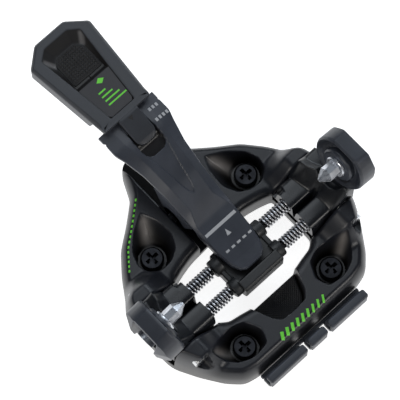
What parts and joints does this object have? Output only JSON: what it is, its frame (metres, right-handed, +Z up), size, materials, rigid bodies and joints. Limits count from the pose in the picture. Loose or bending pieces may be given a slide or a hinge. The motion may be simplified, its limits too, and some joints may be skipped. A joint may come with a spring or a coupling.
{
  "type": "ski-touring toe binding",
  "caption": "Pin-type ski touring toe piece: sprung arms with steel toe pins on a moulded base, worked by a lever with a sliding handle.",
  "frame": {"origin": "on the underside, on the centre line, below the line of the two toe pins", "axes": "+Y towards the ski tip, +X to the skier's right, +Z up from the ski"},
  "size_m": [0.098, 0.1332, 0.054],
  "materials": {
    "base_plastic": "satin moulded charcoal",
    "grip_rubber": "textured black rubber",
    "holder_metal": "dark anodised",
    "screw_steel": "black oxide",
    "axle_steel": "ground steel",
    "block_plastic": "satin black",
    "lever_plastic": "satin slate grey",
    "badge_plastic": "gloss black with a green print",
    "arm_metal": "black anodised aluminium",
    "cap_plastic": "satin slate grey",
    "pin_steel": "bright hardened steel",
    "spring_steel": "bright spring steel"
  },
  "bodies": {
    "root_base": {"base_plate": "base_plastic", "rear_grip_pad": "grip_rubber", "crampon_holder": "holder_metal", "mounting_screws": "screw_steel", "left_axle": "axle_steel", "right_axle": "axle_steel", "lever_pivot_pin": "axle_steel"},
    "centre_block": {"centre_block": "block_plastic", "link_pin": "axle_steel"},
    "lever": {"lever_body": "lever_plastic"},
    "handle": {"handle": "lever_plastic", "handle_grip_pad": "grip_rubber", "handle_badge": "badge_plastic", "handle_cross_pin": "axle_steel"},
    "left_arm": {"left_arm": "arm_metal", "left_cap": "cap_plastic", "left_pin": "pin_steel", "left_pin_nut": "pin_steel", "left_front_spring": "spring_steel", "left_rear_spring": "spring_steel", "left_front_rod": "axle_steel", "left_rear_rod": "axle_steel"},
    "right_arm": {"right_arm": "arm_metal", "right_cap": "cap_plastic", "right_pin": "pin_steel", "right_pin_nut": "pin_steel", "right_front_spring": "spring_steel", "right_rear_spring": "spring_steel", "right_front_rod": "axle_steel", "right_rear_rod": "axle_steel"}
  },
  "joints": [
    {"name": "lever_pivot", "type": "hinge", "parent": "root_base", "child": "lever", "pos_m": [0, 0.03, 0.009], "axis": [1, 0, 0], "range_deg": [0, 11.8]},
    {"name": "centre_block_slide", "type": "slide", "parent": "root_base", "child": "centre_block", "axis": [0, 0, 1], "range_m": [-0.0055, 0]},
    {"name": "left_arm_pivot", "type": "hinge", "parent": "root_base", "child": "left_arm", "pos_m": [-0.0355, 0, 0.014], "axis": [0, 1, 0], "range_deg": [0, 13.1]},
    {"name": "right_arm_pivot", "type": "hinge", "parent": "root_base", "child": "right_arm", "pos_m": [0.0355, 0, 0.014], "axis": [0, -1, 0], "range_deg": [0, 13.1]},
    {"name": "handle_slide", "type": "slide", "parent": "lever", "child": "handle", "axis": [0, -0.9703, -0.2419], "range_m": [0, 0.0042]}
  ],
  "couplings": [
    {"joint": "centre_block_slide", "follows": "lever_pivot", "m_per_rad": -0.02622},
    {"joint": "left_arm_pivot", "follows": "lever_pivot", "ratio": 1.1017},
    {"joint": "right_arm_pivot", "follows": "lever_pivot", "ratio": 1.1017}
  ]
}
